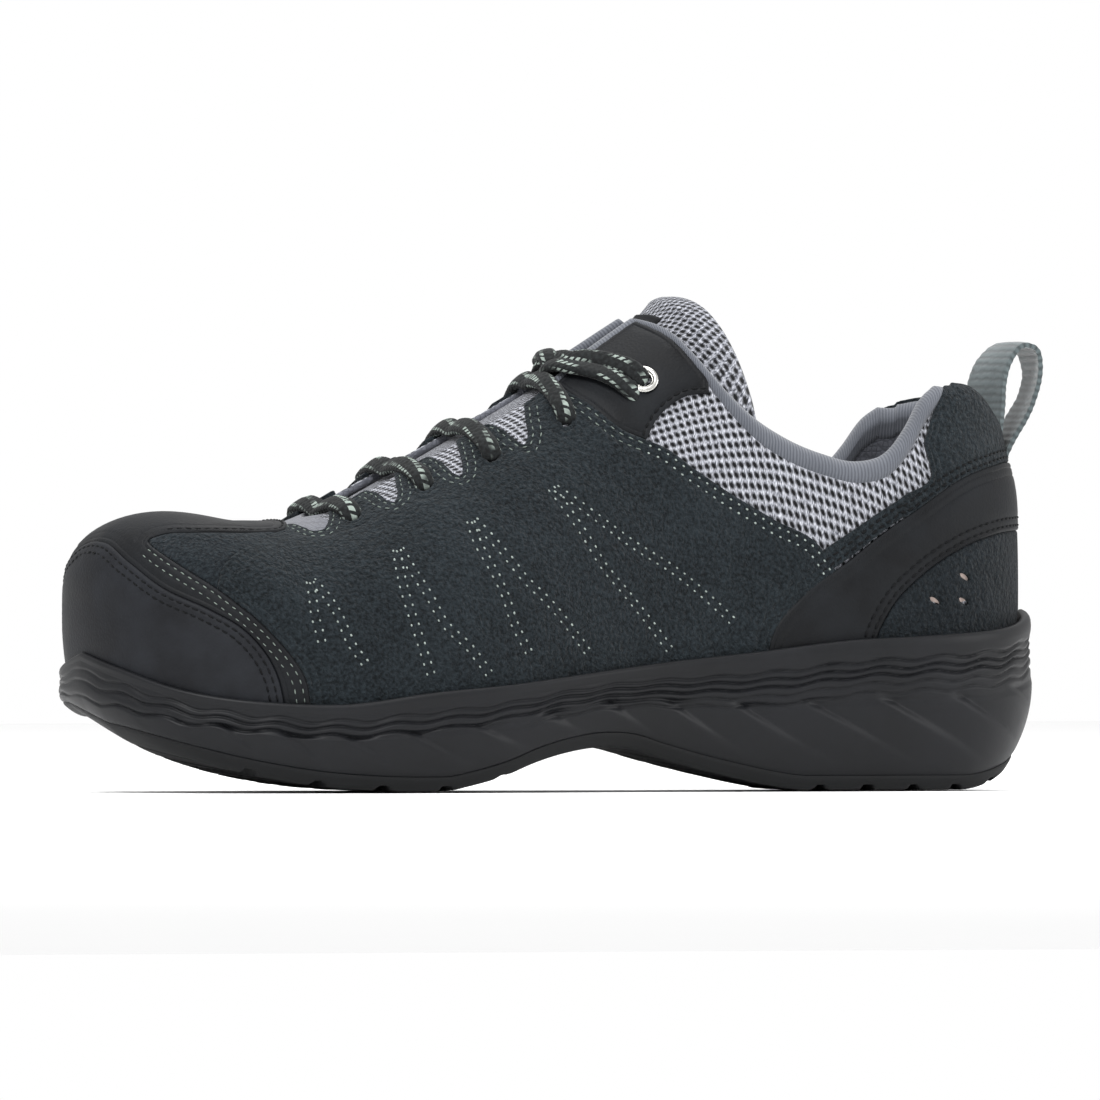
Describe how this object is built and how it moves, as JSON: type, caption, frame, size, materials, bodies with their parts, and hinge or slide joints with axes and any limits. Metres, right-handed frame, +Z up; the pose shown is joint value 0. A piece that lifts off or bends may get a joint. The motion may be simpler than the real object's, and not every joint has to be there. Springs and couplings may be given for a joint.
{
  "type": "safety sneaker",
  "caption": "Low laced safety sneaker for the left foot, with a leather toe cap, suede and mesh upper, padded collar, heel pull loop and a thick rubber sole.",
  "frame": {"origin": "on the ground under the middle of the heel", "axes": "+X toward the heel, the toe points to -X; -Y is the outer side of the left foot; +Z up"},
  "size_m": [0.2989, 0.107, 0.1412],
  "materials": {
    "sole_rubber": "matt black rubber tread",
    "midsole_foam": "matt black moulded foam side wall",
    "knit_mesh": "light grey knitted mesh over dark lining",
    "insole_felt": "dark grey felt-topped foam",
    "tongue_mesh": "light grey knitted mesh over foam",
    "black_leather": "smooth black leather with low sheen",
    "suede": "dark teal-grey napped suede",
    "eyelet_steel": "plain silver metal eyelet",
    "lace_braid": "dark braided lace with pale flecks",
    "loop_webbing": "grey-green ribbed webbing"
  },
  "bodies": {
    "root": {"outsole": "sole_rubber", "midsole": "midsole_foam", "upper": "knit_mesh", "insole": "insole_felt", "tongue": "tongue_mesh", "toe_cap": "black_leather", "toe_band": "black_leather", "vamp_outer": "suede", "vamp_inner": "suede", "quarter_outer": "suede", "quarter_inner": "suede", "eyestay_outer": "black_leather", "eyestay_inner": "black_leather", "heel_collar": "suede", "heel_strap": "black_leather", "heel_patch": "suede", "eyelet_outer": "eyelet_steel", "eyelet_inner": "eyelet_steel", "lace_bar_1": "lace_braid", "lace_bar_2": "lace_braid", "lace_bar_3": "lace_braid", "lace_bar_4": "lace_braid", "lace_cross": "lace_braid", "pull_loop": "loop_webbing"}
  },
  "joints": []
}
